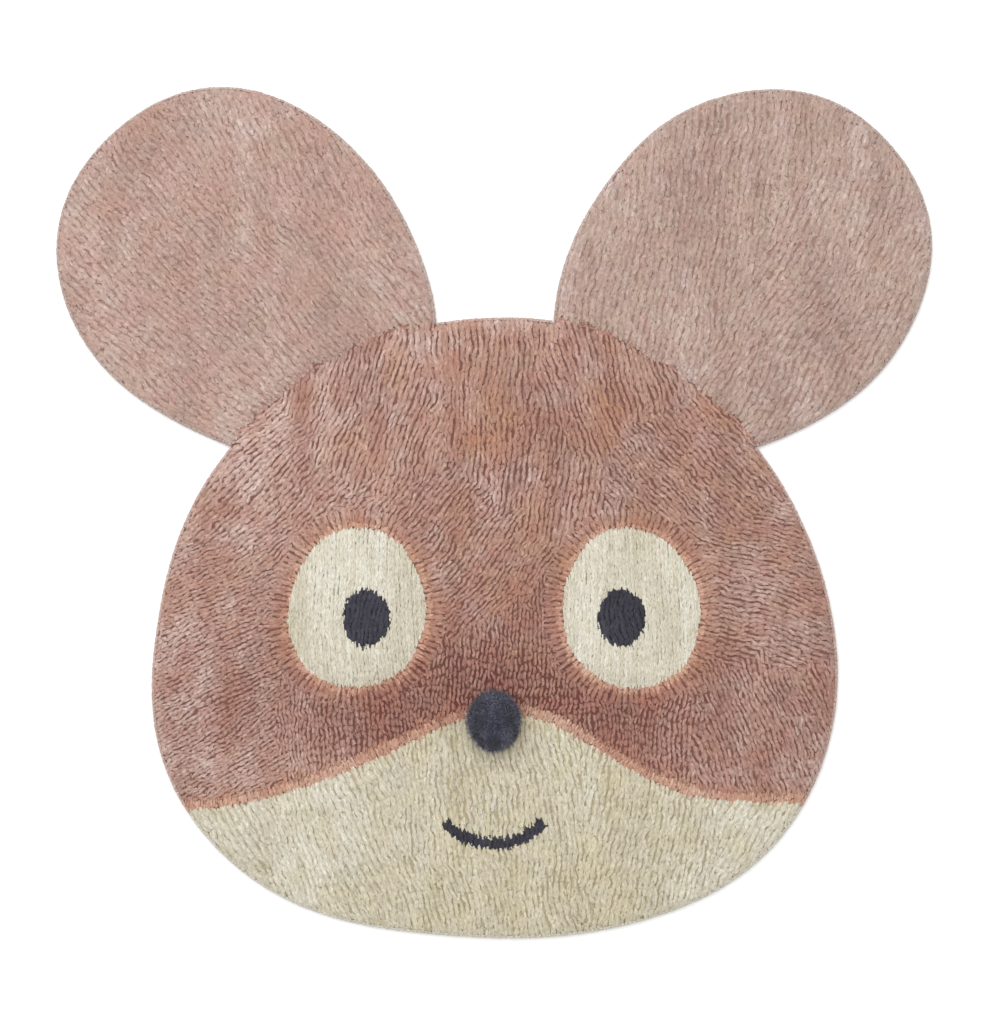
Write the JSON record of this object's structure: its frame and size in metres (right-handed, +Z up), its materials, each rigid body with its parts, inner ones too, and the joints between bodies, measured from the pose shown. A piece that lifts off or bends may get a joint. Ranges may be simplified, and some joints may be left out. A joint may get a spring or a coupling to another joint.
{
  "type": "animal shaped kids rug",
  "caption": "Flat tufted wool rug in the outline of a mouse's head, with carved lines between its colour fields and a yarn pompom nose.",
  "frame": {"origin": "middle of the box at the underside, on the floor", "axes": "+X to the right across the cheeks and ears, +Y towards the ears, +Z up out of the pile"},
  "size_m": [1.101, 1.0705, 0.0653],
  "materials": {
    "head_wool": "cut wool pile, dusky pink",
    "ear_wool": "cut wool pile, light greyish pink",
    "border_wool": "sheared wool rows, orange pink",
    "cream_wool": "cut wool pile, cream",
    "dark_wool": "cut wool pile, near-black navy",
    "ground_cotton": "plain woven cotton ground cloth, undyed",
    "pompom_yarn": "felted wool yarn, charcoal"
  },
  "bodies": {
    "root": {"rug": "head_wool", "nose_pompom": "pompom_yarn"}
  },
  "joints": []
}
